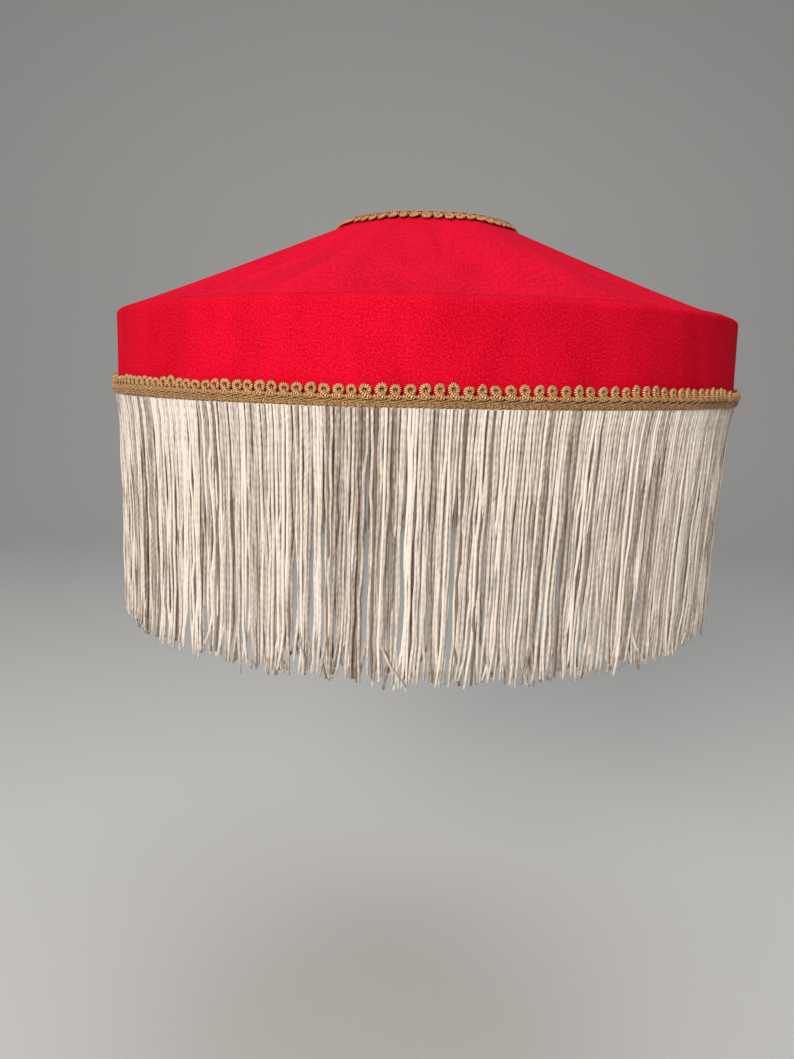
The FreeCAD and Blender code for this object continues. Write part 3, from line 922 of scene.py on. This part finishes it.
bump = add(tree, "ShaderNodeBump", {"Height": relief.outputs[0], "Strength": 0.8, "Distance": 0.16 * MM})
shader = add(tree, "ShaderNodeBsdfPrincipled", {
    "Base Color": shades, "Roughness": 0.36, "Normal": bump.outputs["Normal"],
    "Sheen Weight": 0.3, "Sheen Roughness": 0.4})
tree.links.new(shader.outputs[0], out.inputs[0])
sector = np.floor(places % (2 * pi) / (2 * pi) * SECTORS).astype(int)
fringe = [sector_of_strands(f"fringe_strands_{n + 1}", np.flatnonzero(sector == n), strand_thread)
          for n in range(SECTORS)]
for model in models:
    bpy.data.objects.remove(model)
print(len(strands), "strands,", sum(len(piece.data.polygons) for piece in fringe), "faces")

# %% The header that they hang from
rib_depth = 0.15 * MM
header_thickness = 0.6 * MM
line = [(header_out, header_high.z)]
line += run(line[0], (header_out, header_low.z), 8)
header = spun("fringe_header_band", line, STEPS)
p = points_of(header)
angle = np.arctan2(p[:, 1], p[:, 0])
p[:, :2] *= (1 - rib_depth * (1 + np.sin(322 * angle)) / 2 / header_out)[:, None]
move_points(header, p)
woven, tree, out = new_material("woven_fringe_header")
place = add(tree, "ShaderNodeUVMap", uv_map="cloth").outputs["UV"]
ribs = add(tree, "ShaderNodeMapping", {"Vector": place, "Scale": (1 / STRAND_PITCH, 1 / (1.0 * MM), 1)})
weave = add(tree, "ShaderNodeTexNoise", {"Vector": ribs.outputs[0], "Scale": 1.6, "Detail": 3.0})
tone = ramp(tree, weave.outputs["Fac"], (0.35, "#C9B48E"), (0.65, "#E9DBC0"))
bump = add(tree, "ShaderNodeBump", {"Height": weave.outputs["Fac"], "Strength": 0.8, "Distance": 0.3 * MM})
shader = add(tree, "ShaderNodeBsdfPrincipled", {
    "Base Color": tone, "Roughness": 0.75, "Normal": bump.outputs["Normal"], "Sheen Weight": 0.2})
tree.links.new(shader.outputs[0], out.inputs[0])
thicken(header, header_thickness, woven)

# %% [markdown]
# ## Neateners
# The arms of the gimbal pass the lining at the top ring, and the slit for each leg is
# covered by a short strip of satin, rolled over the ring and glued down inside.

# %% Four satin strips
tab_offset = satin_outer + soft_gap
tab_roll, tab_drop = radians(142), 8 * MM
tab_reach = 14 * MM
line = arc(top_wire, tab_offset, tab_roll, lining_touch, 12)
end = (line[-1][0] + tab_drop * cos(lining_run), line[-1][1] + tab_drop * sin(lining_run))
line += run(line[-1], end, 8)
tab_width = radians(12.0)
tabs = []
for number, middle_angle in enumerate((-98, -82, 82, 98), 1):
    tab = spun(f"satin_neatener_{number}", line, 12, tab_width)
    p = points_of(tab)
    radius, angle = np.hypot(p[:, 0], p[:, 1]), np.arctan2(p[:, 1], p[:, 0]) - tab_width / 2
    down = np.clip((top_height - p[:, 2]) / tab_reach, 0, 1)
    angle *= 1 - 0.12 * down ** 2 - 0.03 * np.sin(9 * down + number)
    bulge = 0.25 * MM * np.cos(angle / tab_width * pi) * np.sin(pi * down)
    radius -= bulge
    angle += radians(middle_angle)
    move_points(tab, np.stack([radius * np.cos(angle), radius * np.sin(angle), p[:, 2]], axis=1))
    thicken(tab, satin, satin_cloth)
    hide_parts(f"neatener_{number}")
    tabs.append(tab)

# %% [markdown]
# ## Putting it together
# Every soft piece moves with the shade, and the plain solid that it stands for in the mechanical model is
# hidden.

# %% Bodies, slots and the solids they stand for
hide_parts("crown_cover")
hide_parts("skirt_cover")
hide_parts("lining")
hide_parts("bottom_gimp")
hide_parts("top_gimp")
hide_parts("fringe_header")
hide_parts("fringe")
slots = {"velvet": [crown, skirt], "satin": [lining, *tabs],
         "gimp": [hem_gimp, hem_backing, top_gimp, top_backing], "fringe": [header, *fringe]}
for slot, pieces in slots.items():
    for piece in pieces:
        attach(piece, "shade")

# %% Cloth that was cut flat
crown_flat = 2 * (shoulder_radius + velvet_outer + seam_lap)
skirt_flat = sum(hypot(b[0] - a[0], b[1] - a[1]) for a, b in zip(skirt_line, skirt_line[1:]))
lining_flat = 2 * hypot(bottom_radius, top_height - bottom_height)
cuts = (crown_flat, skirt_flat, lining_flat)
print("crown, skirt and lining cut", [round(v / MM) for v in cuts], "mm across")
